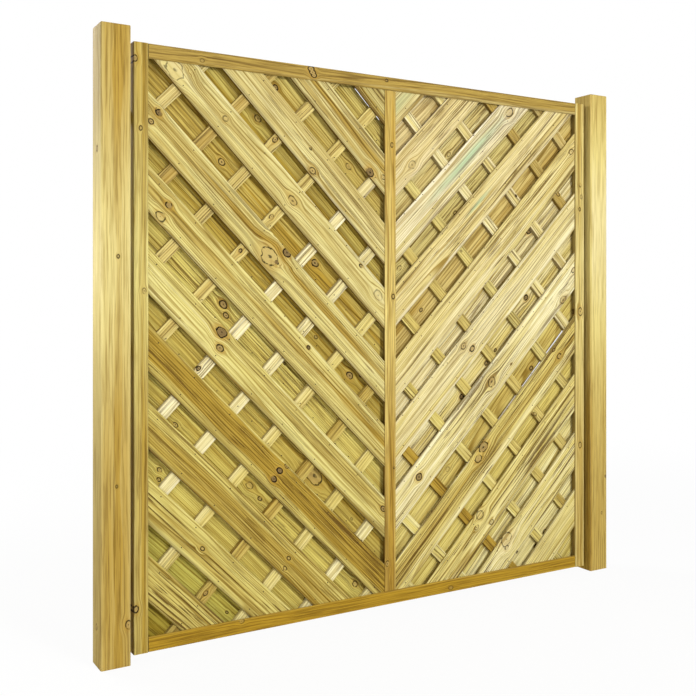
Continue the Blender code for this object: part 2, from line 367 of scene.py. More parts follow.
# How far up from its lower rim a board is painted in shade
lower_rim_shade_width = 0.013
band_edge = 0.002
# How much each adds to the depth of the colour
streak_share, sharp_share, slow_share, band_share = 0.55, 0.2, 0.35, 0.5
# How far the clouds bend the grain, across and through
sway_across, sway_deep = 0.022, 0.02
# How much each stands out of the surface, or lies in it
ring_height, fibre_height, fine_height, hollow_depth = 0.45, 0.7, 0.5, 1.6
bump_strength, bump_depth = 0.55, 0.0006
dullness = 0.06
end_darkening = 0.45


def pine(name, relief=1.0, streaks=1.0, hairlines=1.0, roughness=0.68, sawn=0.5, rings=0.95):
    """A softwood finish that reads the numbers each piece carries."""
    bench = Bench(name)
    place = bench.carried("grain")["Vector"]
    along, across, deep = bench.parts(place)
    tone, green, apart, _ = bench.read("mood")
    given = [(0, (7.3, 3.1, 5.7)), (3, apart)]
    shift = bench.lay("ShaderNodeVectorMath", given, operation="SCALE")
    home = bench.arrow("ADD", place, shift)
    slow, wave, patches, wobble, broken, saw_marks = (
        bench.cloud(home, *clouds[kind])
        for kind in ("slow", "wave", "patches", "wobble", "broken", "saw_marks"))
    slow_across, slow_deep, slow_tone = (part - 0.5 for part in bench.parts(slow["Color"]))
    skin = bench.carried("skin")["Fac"]
    knot_away, knot_radius, knot_darkness, push = nearest_knot(bench, along, skin, wobble - 0.5)
    bent = across - push + slow_across * sway_across
    summer = lay_rings(bench, along, bent, deep + slow_deep * sway_deep, home)
    stretched = bench.arrow("ADD", bench.place(along, bent, deep), shift)
    streak, sharp, fibre, fine, dash = (
        bench.cloud(stretched, *clouds[kind]) for kind in ("streak", "sharp", "fibre", "fine", "dash"))

    # How deep the colour is
    band_middle, band_half, band_strength, band_wave = bench.read("heart")
    off_band = abs(bent - band_middle) - band_half + (wave - 0.5) * band_wave
    in_band = bench.step(off_band, -band_edge, band_edge, 1.0, 0.0) * band_strength
    # A painted pool of light: the colour gets deeper away from where pale says it is palest
    light_pool_along, light_pool_reach, light_pool_falloff, half_width = bench.read("pale")
    away_from_light_pool = bench.step(abs(along - light_pool_along), 0.0, light_pool_reach) * light_pool_falloff
    depth = (
        tone + (streak - 0.5) * (streaks * streak_share) + slow_tone * slow_share
        + bench.step(sharp, 0.54, 0.565) * (streaks * sharp_share) + in_band * band_share + away_from_light_pool
        - bench.step(half_width - abs(across), *bleached_rim, rim_bleach, 0.0))

    # Rings, fibres and the colours of the treatment
    late = bench.ramp(depth, summer_wood)
    colour = bench.blend(summer * rings, bench.ramp(depth, spring_wood), late)
    colour = bench.blend(bench.step(fibre, 0.44, 0.66, 0.0, 0.6), colour, late)
    colour = bench.blend(green, colour, moss, "MULTIPLY")
    cast = bench.carried("cast")
    colour = bench.blend(1.0, colour, cast, "MULTIPLY")
    # Painted shade along the lower rim of a board, as dark as the cast's last number says
    lower_rim_shade = bench.step(half_width + across, 0.0, lower_rim_shade_width, 1.0, 0.0) * cast["Alpha"]
    colour = bench.blend(lower_rim_shade, colour, painted_shade_brown)
    stain_along, stain_across, stain_radius, stain_strength = bench.read("tint")
    east = (along - stain_along) / stain_stretch
    away = bench.length(east, bent - stain_across) / stain_radius + patches * 0.8
    stain = bench.step(away, 0.5, 1.5, 1.0, 0.0) * stain_strength
    colour = bench.blend(stain, colour, stain_green)

    # Hairlines
    hair = bench.step(fine, 0.56, 0.595) * bench.step(patches, 0.4, 0.52, 0.25, 1.0)
    dashes = bench.step(dash, 0.6, 0.635) * bench.step(wave, 0.46, 0.56, 0.2, 1.0)
    own = bench.step(bench.toss(apart), 0.1, 0.9, 0.35, 0.8)
    hair = bench.sum("MAXIMUM", hair, dashes) * own
    colour = bench.blend(hair * hairlines, colour, hairline_brown)

    # Knots
    halo = bench.step(knot_away, 0.9, 2.4, 0.6, 0.0) * knot_darkness
    colour = bench.blend(halo, colour, knot_halo)
    turns = bench.step(bench.sum("FRACT", knot_away * (knot_radius / knot_ring)), 0.2, 0.9, 0.0, 0.5)
    dark_core = knot_darkness ** 3.5
    core = bench.blend(dark_core * 0.6 + turns, *knot_core)
    inside = bench.step(knot_away, 0.75, 1.0, 1.0, 0.0) * (dark_core * 0.75 + 0.2)
    colour = bench.blend(bench.sum("MINIMUM", inside, 1.0), colour, core)
    rim = bench.step(abs(knot_away - 1.0) * knot_radius, *knot_line, 1.0, 0.0)
    rim = bench.sum("MAXIMUM", rim, bench.step(knot_away, 0.1, 0.3, 0.9, 0.0))
    rim = rim * knot_darkness ** 0.35 * bench.step(broken, 0.32, 0.46, 0.2, 1.0)
    colour = bench.blend(rim, colour, knot_rim)

    # Narrow sides in painted shade, arrises worn and painted pale, splits painted dark inside, and sawn
    # ends
    # The narrow sides are painted dark as painted shade, the undersides most
    side = bench.carried("edge")["Fac"]
    colour = bench.blend(bench.sum("MAXIMUM", side, 0.0), colour, painted_shade_brown)
    # Arrises paler in patches: partly wear, partly a painted highlight
    arris_highlight = side * bench.step(patches, 0.3, 0.6, -1.0, -0.3)
    colour = bench.blend(bench.sum("MAXIMUM", arris_highlight, 0.0), colour, arris_highlight_pale)
    # Splits are painted dark inside, deepest at the bottom, as painted shade
    crack = bench.step(bench.carried("crack")["Fac"], 0.05, 0.6)
    colour = bench.blend(crack, colour, split_shade_dark)
    colour = bench.blend(bench.carried("end")["Fac"] * end_darkening, colour, late)

    hollow = bench.sum("MAXIMUM", hair, rim)
    height = (
        summer * ring_height + fibre * fibre_height + saw_marks * sawn + fine * fine_height
        - hollow * hollow_depth)
    sheen = bench.step(fibre - summer * 0.35, 0.0, 1.0, -0.1, 0.12)
    bench.join(bench.nodes["Principled BSDF"], (
        ("Normal", bench.bump(bump_strength * relief, bump_depth, height)), ("Base Color", colour),
        ("Roughness", sheen + roughness), ("Specular IOR Level", dullness)))
    return bench.made


woods = {
    "front_board_wood": pine("front_board_wood", streaks=0.9, hairlines=1.1),
    "rear_board_wood": pine("rear_board_wood", streaks=0.8),
    "slat_wood": pine("slat_wood", streaks=0.65, rings=0.6),
    "frame_wood": pine("frame_wood", 0.8, 0.6, 0.6, 0.62, 0.15, 0.7),
    "post_wood": pine("post_wood", 0.8, 0.2, 0.2, 0.62, 0.15, 0.3),
}
print("wood finishes:", ", ".join(woods))

# %% [markdown]
# ## Telling the pieces apart
#
# No two boards in the photograph are alike, so every piece draws its own log, seed and small knots
# from its name. How deep its colour is, and what the eye finds at once, such as a row of knots or
# a brown band of heartwood, is written down in the next cells instead.

# %% What each piece carries
absent = (-9.0, 0.0, 0.001, 0.0)
off_heart = 0.025


def in_metres(four, lengths):
    """Four numbers, of which those at the places in lengths are turned from millimetres."""
    return tuple(number / 1000 if place in lengths else number for place, number in enumerate(four))


def character(
        name, length, width, tone=0.42, green=0.0, cast=(1, 1, 1, 0), heart=None, tint=None,
        pale=None, knots=(), fill=0, lean=0.4):
    """The numbers that a piece carries, drawn from its name and from what is known of it."""
    draw = random.Random(name)
    heart_across = draw.uniform(-0.06, 0.06)
    carried = {
        "log": (heart_across + math.copysign(off_heart, heart_across), draw.uniform(0.02, 0.11),
                draw.uniform(-0.03, 0.03) * lean, draw.uniform(-0.05, 0.05) * lean),
        "mood": (tone, green, draw.uniform(0.0, 40.0), draw.uniform(0.0045, 0.0075)),
        "heart": (draw.uniform(-0.03, 0.03), draw.uniform(0.004, 0.02), draw.uniform(0.0, 0.16), 0.05),
        "tint": in_metres(tint, (0, 1, 2)) if tint else absent,
        "cast": cast,
        "pale": (*(in_metres(pale, (0, 1)) if pale else (0.0, 1.0, 0.0)), width / 2),
    }
    if heart:
        carried["heart"] = in_metres(heart, (0, 1, 3))
    placed = [in_metres(knot, (0, 1, 2)) for knot in knots]
    for _ in range(fill):
        placed.append((
            draw.uniform(0.05, 0.95) * length, draw.uniform(-0.42, 0.42) * width,
            draw.uniform(0.0025, 0.007), draw.uniform(0.15, 0.7)))
    placed += [absent] * len(knot_names)
    carried.update(zip(knot_names, placed))
    return carried


def write(mesh, name, numbers, kind="FLOAT", field="value", on="POINT"):
    """Writes numbers for each point or face of a mesh where its finish can read them."""
    layer = mesh.attributes.new(name, kind, on)
    layer.data.foreach_set(field, numbers)


# %% [markdown]
# ## What the photograph shows of each piece
#
# Places are in millimetres: along from the piece's upper or left end, and across from its middle
# line, upwards or outwards. A tone of 0 is the palest wood and 1 the deepest, and green is how much
# of the treatment shows. The upper boards are greyer than the lower ones, so each row has a cast
# for its top board, one for its lower boards, and the darkness of the boards' lower rims, which is
# painted shade. A heart is the middle, half width, strength and wave of a brown band, and a tint is
# a green stain. A split has a start, an end, a place across, half its width and its depth. Pale is
# a painted pool of light: the uprights are palest where it says, and get that much deeper as far
# away as it reaches.

# %% Known features
tones = {
    "front_board_left": (0.8, 0.7, 0.55, 0.5, 0.55, 0.6, 0.45, 0.7, 0.65, 0.55, 0.7),
    "front_board_right": (0.6, 0.45, 0.3, 0.4, 0.4, 0.3, 0.15, 0.3, 0.45, 0.25, 0.4),
    "rear_board_left": (0.7, 0.75, 0.8, 0.75, 0.8, 0.55, 0.75, 0.6, 0.55, 0.7, 1.0),
    "rear_board_right": (0.4, 0.5, 0.6, 0.75, 0.25, 0.25, 0.55, 0.5, 0.1, 0.05, 0.4),
    "slat_left": (0.55, 0.9, 0.65, 0.6, 0.1, 0.15, 0.45, 0.8, 0.35, 0.15, 0.35),
    "slat_right": (0.65, 0.95, 0.35, 0.35, 0.55, 0.7, 0.65, 0.5, 1.0, 0.3, 0.35),
}
# The last number of each row is the painted shade along the boards' lower rims
casts = {
    "front_board_left": ((0.93, 1.0, 1.45), (0.94, 1.0, 0.95), 0.6),
    "front_board_right": ((0.97, 0.99, 1.45), (0.97, 1.0, 1.0), 0.15),
    "rear_board_left": ((0.94, 0.99, 1.0), (0.96, 1.0, 0.78), 0.0),
    "rear_board_right": ((0.98, 0.99, 1.4), (0.98, 1.0, 0.86), 0.0),
    "slat_left": ((0.97, 0.99, 1.2), (0.97, 0.99, 0.95), 0.0),
    "slat_right": ((0.96, 0.99, 1.3), (0.96, 0.99, 0.92), 0.0),
}
golden_from = 8
known = {
    "front_board_left": {
        1: {"green": 0.3},
        2: {"green": 0.1, "heart": (10, 14, 0.5, 20), "knots": ((429, -38, 13, 1.0), (476, -9, 7, 0.6))},
        3: {"knots": ((446, -35, 9, 0.6), (391, 12, 3, 0.6)), "splits": ((716, 778, 4, 0.8, 2.5),)},
        4: {"knots": (
            (76, -20, 23, 0.3), (622, -2, 12, 0.4), (950, 35, 5, 0.8), (285, 4, 7, 0.3),
            (1068, 14, 14, 0.15))},
        5: {"heart": (12, 11, 0.5, 40), "knots": (
            (83, 28, 8, 1.0), (87, -8, 7, 0.8), (640, -10, 24, 0.7), (673, 42, 11, 1.0),
            (668, -6, 7, 1.0)), "splits": ((938, 1020, 24, 0.7, 2.0), (103, 157, -2, 0.6, 2.0))},
        6: {"heart": (4, 9, 0.55, 50), "knots": (
            (145, 11, 9, 0.9), (151, -32, 12, 0.6), (791, 36, 5, 1.0)),
            "splits": ((1074, 1184, 32, 0.6, 2.0),)},
        7: {"knots": ((366, 32, 14, 1.0), (395, -6, 10, 0.9), (1219, 17, 8, 0.9))},
        8: {"heart": (10, 36, 0.6, 14), "knots": (
            (660, 20, 8, 1.0), (663, -12, 8, 1.0), (669, 46, 5, 0.5))},
        9: {"heart": (-14, 32, 0.5, 30), "knots": ((721, 4, 6, 0.6), (732, -27, 5, 0.5))},
        10: {"knots": ((304, 4, 6, 0.7),)},
    },
    "front_board_right": {
        1: {"green": 0.2, "tint": (210, 0, 30, 0.3)},
        2: {"knots": ((398, -17, 12, 0.2),), "splits": ((204, 345, 12, 0.5, 1.5),)},
        3: {"green": 0.1, "tint": (350, 4, 27, 0.7), "knots": ((100, 2, 14, 0.6),),
            "splits": ((617, 748, 18, 1.0, 3.0),)},
        4: {"tint": (600, 16, 9, 0.6), "splits": (
            (615, 652, 16, 0.8, 2.5), (750, 826, 0, 0.9, 3.0), (543, 605, 6, 0.6, 2.0))},
        5: {"knots": ((77, 11, 8, 0.5),)},
        6: {"knots": ((804, 22, 9, 0.5), (785, -13, 9, 0.8))},
        7: {"knots": (
            (184, -38, 13, 0.35), (65, 7, 7, 0.5), (645, 0, 14, 0.55), (1098, 5, 10, 0.95),
            (536, -21, 3, 1.0))},
        8: {"heart": (14, 34, 0.6, 24), "knots": (
            (664, 35, 16, 0.9), (709, 23, 12, 0.8), (179, 37, 5, 0.6), (177, -2, 9, 0.6))},
        9: {"knots": ((691, 32, 14, 0.35), (730, 13, 7, 0.4), (673, -28, 7, 0.4)),
            "splits": ((575, 616, 13, 0.7, 2.0),)},
        10: {"knots": ((516, 31, 20, 0.5), (536, 7, 7, 0.6), (518, -45, 3, 0.7))},
    },
    "rear_board_left": {
        1: {"green": 0.1},
        2: {"knots": ((88, -21, 7, 0.9), (449, 6, 9, 0.3))},
        3: {"green": 0.2, "knots": ((289, 28, 9, 0.5),)},
        4: {"knots": ((387, -2, 8, 0.7), (839, 13, 10, 0.9))},
        5: {"green": 0.1, "knots": ((1065, 3, 10, 0.9), (1096, 34, 5, 1.0))},
        6: {"knots": ((396, 24, 10, 0.9), (427, 6, 7, 0.8))},
        7: {"knots": ((869, 6, 24, 0.7),), "splits": ((526, 641, 2, 0.6, 2.0), (390, 478, -1, 0.6, 2.0))},
        8: {"knots": ((1712, 13, 8, 0.6), (851, -26, 6, 0.5), (1173, -1, 10, 0.3))},
        9: {"knots": ((121, 6, 6, 0.6), (140, -16, 5, 0.7))},
        10: {"green": 0.6},
        11: {"green": 0.6},
    },
    "rear_board_right": {
        2: {"green": 0.2},
        3: {"green": 0.3, "knots": ((921, -1, 7, 0.4),), "splits": ((266, 338, -11, 0.6, 2.0),)},
        4: {"knots": ((1044, -5, 5, 0.8),)},
        5: {"knots": ((342, 19, 10, 1.0),)},
        6: {"knots": ((371, 11, 9, 1.0), (839, -28, 8, 1.0), (678, -24, 6, 0.9), (614, -22, 4, 0.8))},
        7: {"knots": ((384, -35, 7, 0.9),)},
        10: {"knots": ((354, -38, 5, 1.0),)},
    },
    "slat_left": {
        1: {"splits": ((588, 650, -14, 0.6, 2.5),)},
        2: {"splits": ((605, 652, 11, 0.6, 2.5), (755, 816, 15, 0.6, 2.5))},
        3: {"knots": ((442, 5, 7, 0.8),)},
        4: {"knots": ((780, 5, 6, 0.9),)},
        5: {"knots": ((1135, 13, 5, 0.9),)},
        7: {"splits": ((583, 647, -16, 0.6, 2.5),)},
    },
    "slat_right": {
        2: {"green": 0.1, "knots": ((767, 10, 7, 0.7),)},
        3: {"knots": ((633, 12, 3, 1.0),)},
        5: {"green": 0.1},
    },
}
members = {
    "stile_left": {
        "tone": 0.56, "pale": (680, 600, 0.32), "cast": (0.95, 1.01, 1.1, 0.0),
        "knots": ((50, 19, 7, 0.8), (1667, 16, 8, 0.8)), "heart": (-10, 6, 0.3, 20)},
    "stile_right": {
        "tone": 0.55, "pale": (600, 900, 0.2), "cast": (0.98, 1.0, 1.15, 0.0),
        "knots": ((317, 1, 5, 0.5), (808, 1, 11, 0.6), (1327, 1, 8, 0.4))},
    "rail_top": {
        "tone": 0.82, "pale": (1600, 1600, 0.26), "green": 0.25, "heart": (13, 19, 0.7, 5),
        "cast": (0.95, 1.0, 1.6, 0.0),
        "knots": ((545, 13, 8, 0.8), (551, 3, 8, 0.8), (556, -7, 7, 0.8), (837, 10, 4, 0.7))},
    "rail_bottom": {"tone": 0.79, "heart": (0, 40, 0.6, 10), "cast": (1.0, 0.975, 0.56, 0.0)},
    "muntin": {
        "tone": 0.58, "pale": (720, 700, 0.3), "cast": (1.01, 0.99, 1.0, 0.0),
        "heart": (-18, 6, 0.15, 4),
        "knots": ((185, 6, 5, 0.5), (704, 11, 6, 0.6))},
    "post_left": {
        "tone": 0.57, "pale": (1180, 600, 0.32), "cast": (0.97, 1.0, 1.2, 0.0),
        "heart": (8, 12, 0.3, 30), "knots": ((120, 36, 9, 0.7), (1500, -84, 6, 0.6), (115, -88, 6, 0.6))},
    "post_right": {
        "tone": 0.37, "pale": (1300, 850, 0.5), "cast": (0.98, 1.0, 1.1, 0.0),
        "heart": (-50, 12, 0.5, 14)},
}
print("pieces with known features:", sum(len(row) for row in known.values()) + len(members))

# %% [markdown]
# ## Sawing a strip
#
# Boards and slats are the same thing in two sizes: a planed strip, run past both ends of the
# opening and sawn off by the frame. It starts as a flat grid, because a grid has the lanes and
# stations that a real board needs to bow and to wander. Extruding gives it thickness, a bevel
# rounds its four long arrises, and four bisecting planes saw it to length.

# %% Helpers for the strips
sides = {"left": -1, "right": 1}
right, rear, up = Vector((1, 0, 0)), Vector((0, 1, 0)), Vector((0, 0, 1))
down = -up
run_angle = math.radians(45)
strip_bow = 0.0003
strip_wander = 0.0005
# Waves to the metre, and where in the noise each is looked up
long_waves, short_waves, flutter = 2.1, 14.0, 9.0
edge_seed, flutter_across = 40, 20
split_reach = 0.003
split_opening, split_closed = 0.6, 0.15
corner_angle = math.radians(60)
same_way = 0.999
# Points this near to a plane lie on it
close = 0.0001


def grain_axes(side, slat=False):
    """Down the grain, and up across it. Boards fall towards the middle, slats away from it."""
    way = side if slat else -side
    run = Vector((way * math.cos(run_angle), 0, -math.sin(run_angle)))
    lift = Vector((way * math.sin(run_angle), 0, math.cos(run_angle)))
    return run, lift


def half_of(name):
    return "left" if "_left_" in name else "right"


def points_of(name):
    return [v.co for v in solids[name].data.vertices]


def edges_of(name):
    """Both end points of every edge of a solid."""
    points = points_of(name)
    return [[points[number] for number in edge.vertices] for edge in solids[name].data.edges]


def reach(points, direction):
    """How far points reach along a direction, at least and at most."""
    along = [point.dot(direction) for point in points]
    return min(along), max(along)


def only(kind, geom):
    return [part for part in geom if isinstance(part, kind)]


def long_rims(bm):
    """The edges along X where two faces meet at a corner."""
    return [
        e for e in bm.edges
        if len(e.link_faces) == 2 and e.calc_face_angle() > corner_angle
        and abs((e.verts[0].co - e.verts[1].co).normalized().x) > same_way
    ]


def round_over(bm, edges, offset, segments):
    bmesh.ops.bevel(
        bm, geom=edges, offset=offset, offset_type="OFFSET", segments=segments, profile=0.5,
        affect="EDGES", material=-1, clamp_overlap=True)


def draw_out(bm, faces, way):
    """Extrudes faces and moves the new ones. Hands back their corners."""
    corners = only(bmesh.types.BMVert, bmesh.ops.extrude_face_region(bm, geom=faces)["geom"])
    bmesh.ops.translate(bm, vec=way, verts=corners)
    return corners


def slice_at(bm, point, normal, clear=False):
    """Lays edges where a plane crosses. With clear, what lies beyond the plane is taken away."""
    cut = bmesh.ops.bisect_plane(
        bm, geom=[*bm.verts, *bm.edges, *bm.faces], dist=1e-6, plane_co=point, plane_no=normal,
        clear_outer=clear)
    return only(bmesh.types.BMEdge, cut["geom_cut"])


def cut_at(bm, axis, places):
    """Lays edges across at each place along an axis."""
    for place in places:
        slice_at(bm, axis * place, axis)


def saw(bm, point, normal):
    """Takes away what lies beyond a plane, and closes the cut."""
    rim = slice_at(bm, point, normal, clear=True)
    if rim:
        bmesh.ops.edgeloop_fill(bm, edges=rim)


def weather(bm, name):
    """Bows a strip and lets its edges wander, before it is turned into place. X runs along it."""
    seed = random.Random(name).uniform(0, 90)
    for vert in bm.verts:
        x, y, z = vert.co
        long_wave = noise.noise((x * long_waves, seed, 0))
        short_wave = noise.noise((x * short_waves, seed, edge_seed + math.copysign(1, z)))
        quick_wave = noise.noise((x * flutter, seed, z * flutter_across))
        vert.co.y = y + strip_bow * long_wave + strip_bow * 0.4 * quick_wave
        vert.co.z = z + strip_wander * (short_wave + 0.5 * long_wave)


def split_open(bm, split):
    """Opens a V-shaped split in the front of a strip, before it is turned into place."""
    start, end, height, width, depth = split
    crack = bm.verts.layers.float["crack"]
    cut_at(bm, up, (height - width, height, height + width))
    front = min(v.co.y for v in bm.verts)
    for vert in bm.verts:
        share = (vert.co.x - start) / (end - start)
        off = vert.co.z - height
        if not 0 < share < 1 or abs(off) > width * 1.01 or vert.co.y > front + split_reach:
            continue
        open_here = math.sin(math.pi * share) ** split_opening
        if abs(off) < width * 0.1:
            vert.co.y += depth * open_here
            vert[crack] = open_here
        else:
            vert.co.z = height + off * (split_closed + (1 - split_closed) * open_here)


def place_along(origin, run, lift):
    """Takes a piece made along X, with Z across it, to its place. Y stays from front to back."""
    return Matrix.Translation(origin) @ Matrix((run, rear, lift)).transposed().to_4x4()


# %% [markdown]
# The narrow sides of a board are painted darker than its face, as painted shade: the undersides
# the darkest, and the upper sides a little dark too.

# %% Saw one strip
station_step = 0.03
lanes = 4
end_margin = 0.02
arris = 0.0013
# How dark the undersides and the upper sides are painted, as painted shade
painted_side_shade = {
    "front_board_wood": (0.9, 0.35), "rear_board_wood": (0.7, 0.2), "slat_wood": (0.6, 0.1),
    "frame_wood": (0.4, 0.2), "post_wood": (0.06, 0.0)}
# How pale the arrises are, partly wear and partly a painted highlight
arris_highlight_share = -0.08
facing_side, facing_arris, facing_end = 0.9, 0.15, 0.75


def edge_share(facing_across, wood):
    """How dark a narrow side is painted as shade, or below 0 how pale an arris is, worn and painted as a
    highlight.
    """
    if abs(facing_across) > facing_side:
        return painted_side_shade[wood][facing_across > 0]
    return arris_highlight_share if abs(facing_across) > facing_arris else 0.0


def smoothed(name, bm, finish, smooth_below=40):
    """Turns a worked mesh into an object that is smooth but for its sharp edges."""
    bmesh.ops.recalc_face_normals(bm, faces=bm.faces)
    piece = as_object(name, bm, finish)
    piece.data.shade_smooth()
    piece.data.set_sharp_from_angle(angle=math.radians(smooth_below))
    return piece


def finish_piece(name, bm, wood, numbers, origin, run, lift, unroll=lambda across, deep: across):
    """Hands a worked mesh over as a named piece that knows its own grain."""
    piece = smoothed(name, bm, woods[wood])
    mesh = piece.data
    places = []
    for vert in mesh.vertices:
        place = vert.co - origin
        places += [place.dot(run), place.dot(lift), place.y]
    write(mesh, "grain", places, "FLOAT_VECTOR", "vector")
    write(mesh, "skin", [unroll(*place) for place in zip(places[1::3], places[2::3])])
    facing = [face.normal for face in mesh.polygons]
    ends = [float(abs(normal.dot(run)) > facing_end) for normal in facing]
    write(mesh, "end", ends, on="FACE")
    write(mesh, "edge", [edge_share(normal.dot(lift), wood) for normal in facing], on="FACE")
    for kind, four in numbers.items():
        write(mesh, kind, list(four) * len(mesh.vertices), "FLOAT_COLOR", "color")
    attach(piece, "root")
    return piece


def facts_of(name, length, width, usual):
    """The numbers and splits of a piece: what is usual for its kind, then what is known of it."""
    facts = {**usual, **members.get(name, {})}
    row, _, number = name.rpartition("_")
    if row in tones:
        number = int(number)
        upper, lower, rim = casts[row]
        share = min(1, (number - 1) / (golden_from - 1))
        cast = (*Vector(upper).lerp(Vector(lower), share), rim)
        facts.update(known[row].get(number, {}), tone=tones[row][number - 1], cast=cast)
    splits = [in_metres(split, range(5)) for split in facts.pop("splits", ())]
    return character(name, length, width, **facts), splits


def saw_strip(name, wood, axes, heights, lengths, depths, box, usual):
    """A strip between two heights across its grain, sawn off by the sides of a box."""
    run, lift = axes
    (low, high), (start, end), (front, back) = heights, lengths, depths
    numbers, splits = facts_of(name.removesuffix("_sawn"), end - start, high - low, usual)
    length = end - start + 2 * end_margin
    bm = bmesh.new()
    bm.verts.layers.float.new("crack")
    stations = max(2, round(length / station_step))
    bmesh.ops.create_grid(bm, x_segments=stations, y_segments=lanes, size=0.5)
    bmesh.ops.scale(bm, vec=(length, high - low, 1), verts=bm.verts)
    bmesh.ops.rotate(bm, matrix=Matrix.Rotation(math.pi / 2, 3, "X"), verts=bm.verts)
    bmesh.ops.translate(bm, vec=(length / 2 - end_margin, (front - back) / 2, 0), verts=bm.verts)
    draw_out(bm, bm.faces[:], rear * (back - front))
    bmesh.ops.recalc_face_normals(bm, faces=bm.faces)
    round_over(bm, long_rims(bm), arris, 2)
    weather(bm, name)
    for split in splits:
        split_open(bm, split)
    origin = run * start + lift * (low + high) / 2 + rear * (front + back) / 2
    bmesh.ops.transform(bm, matrix=place_along(origin, run, lift), verts=bm.verts)
    for axis in (right, up):
        for corner, way in zip(box, (-1, 1)):
            saw(bm, Vector(corner), axis * way)
    return finish_piece(name, bm, wood, numbers, origin, run, lift)


# %% [markdown]
# ## Front boards
#
# Eleven boards in each half lie on the front of the slats. Their sizes and places are measured
# from the solid boards, so they stay right if the model changes.

# %% Front boards
most_lean = math.radians(1)
most_rise = 0.00001


def axes_of(name, side):
    """Down the grain and up across it, read from the solid's longest edge that lies flat."""
    run, lift = grain_axes(side)
    ways = [stop - start for start, stop in edges_of(name)]
    with_grain = [
        way for way in ways
        if abs(way.normalized().dot(run)) > math.cos(most_lean) and abs(way.y) < most_rise]
    along = max(with_grain, key=lambda way: way.length).normalized()
    along *= math.copysign(1, along.dot(run))
    across = Vector((-along.z, 0, along.x))
    return along, across * math.copysign(1, across.dot(lift))


board_usual = {"front_board": {}, "rear_board": {"fill": 1}}
board_places = {}


def saw_board(layer, half, number, axes, heights, lengths, depths, box):
    """Saws a board, and keeps its place for the nails."""
    board_places[layer, half, number] = axes, heights, depths
    return saw_strip(
        f"{layer}_{half}_{number:02d}_sawn", layer + "_wood", axes, heights, lengths, depths, box,
        board_usual[layer])


def make_boards(layer):
    names = [name for name in sorted(solids) if name.startswith(layer)]
    for name in names:
        half = half_of(name)
        axes = axes_of(name, sides[half])
        lengths, heights, depths = (reach(points_of(name), way) for way in (*axes, rear))
        piece = saw_board(
            layer, half, int(name[-2:]), axes, heights, lengths, depths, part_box(name))
        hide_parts(name)
    print(layer, "pieces:", len(names))


make_boards("front_board")

# %% [markdown]
# ## Rear boards
#
# The rear boards are sawn in the same way. Two in each half are part of the slats' solid, which
# they tie together, so their places are read from the rear face of that solid.

# %% Rear boards
upper_tie, lower_tie = 4, 8
rear_skin = 0.002
make_boards("rear_board")


def tie_heights(points, lift):
    """The lower and upper edge of the two rear boards in a lattice, from their rear faces."""
    back = max(point.y for point in points)
    heights = sorted(point.dot(lift) for point in points if point.y > back - rear_skin)
    gap = max(range(1, len(heights)), key=lambda place: heights[place] - heights[place - 1])
    return {upper_tie: (heights[gap], heights[-1]), lower_tie: (heights[0], heights[gap - 1])}


def make_tie_boards():
    for half, side in sides.items():
        lattice = f"slat_lattice_{half}"
        axes = grain_axes(side)
        depths = board_places["rear_board", half, upper_tie - 1][2]
        lengths = reach(points_of(lattice), axes[0])
        for number, heights in tie_heights(points_of(lattice), axes[1]).items():
            piece = saw_board(
                "rear_board", half, number, axes, heights, lengths, depths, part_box(lattice))
            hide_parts(lattice)


make_tie_boards()

# %% [markdown]
# ## Slats
#
# The slats cross the boards. Every edge on the front of the lattice solid that runs with the slats
# is the lower or the upper edge of a slat, so in order of height they come in pairs.

# %% Slats
same_edge = 0.0005
with_slats = 0.99999
slat_middles = {}


def slat_heights(lattice, run, lift):
    """The lower and upper edge of each slat, from the long edges on the solid's front."""
    front = min(point.y for point in points_of(lattice))
    heights = sorted(
        start.dot(lift) for start, stop in edges_of(lattice)
        if max(start.y, stop.y) < front + close
        and abs((stop - start).normalized().dot(run)) > with_slats)
    edges = heights[:1]
    for height in heights:
        if height - edges[-1] > same_edge:
            edges.append(height)
    return list(zip(edges[0::2], edges[1::2]))


def make_slats():
    for half, side in sides.items():
        lattice = f"slat_lattice_{half}"
        axes = grain_axes(side, slat=True)
        front = min(point.y for point in points_of(lattice))
        lengths = reach(points_of(lattice), axes[0])
        rows = slat_heights(lattice, *axes)
        slat_middles[half] = [(low + high) / 2 for low, high in rows]
        print(half, "slats:", len(rows))
        for number, heights in enumerate(reversed(rows), 1):
            name = f"slat_{half}_{number:02d}"
            piece = saw_strip(
                name, "slat_wood", axes, heights, lengths, (front, -front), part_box(lattice),
                {"fill": 1})
            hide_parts(f"slat_lattice_{half}")


make_slats()

# %% [markdown]
# ## Grooved frame
#
# The frame members are planed bars with a groove that takes the ends of all three layers. Their
# section is drawn across and through, and extruded along the grain. The rounded arrises are
# bevelled, and on the rails and the muntin the web between the grooves runs on as a stub tenon.

# %% Grooved bars
frame_station = 0.06
frame_bow = 0.00015
stile_round = 0.003
rail_chamfer = 0.0035
light_ease = 0.0015
timber_usual = {"fill": 2, "lean": 0.2}

stile_points = points_of("stile_left")
groove_half = min(abs(point.y) for point in stile_points)
in_groove = [point.x for point in stile_points if abs(point.y) < groove_half + close]
groove_depth = max(in_groove) - min(in_groove)
tenon_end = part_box("rail_top")[0][0] + close
tenon_half = min(abs(point.y) for point in points_of("rail_top") if point.x < tenon_end)
print("groove:", round(2000 * groove_half, 1), "mm wide,", round(1000 * groove_depth, 1), "mm deep")


def section(face, depth, double=False):
    """A bar's section, through and across. Across is 0 at the middle, and inwards is less."""
    edge, half = face / 2, depth / 2
    floor_of_groove = groove_depth - edge
    groove = [
        (groove_half, -edge), (groove_half, floor_of_groove),
        (-groove_half, floor_of_groove), (-groove_half, -edge)]
    other = [(-through, -across) for through, across in groove] if double else []
    return [(-half, -edge), (-half, edge), *other, (half, edge), (half, -edge), *groove]


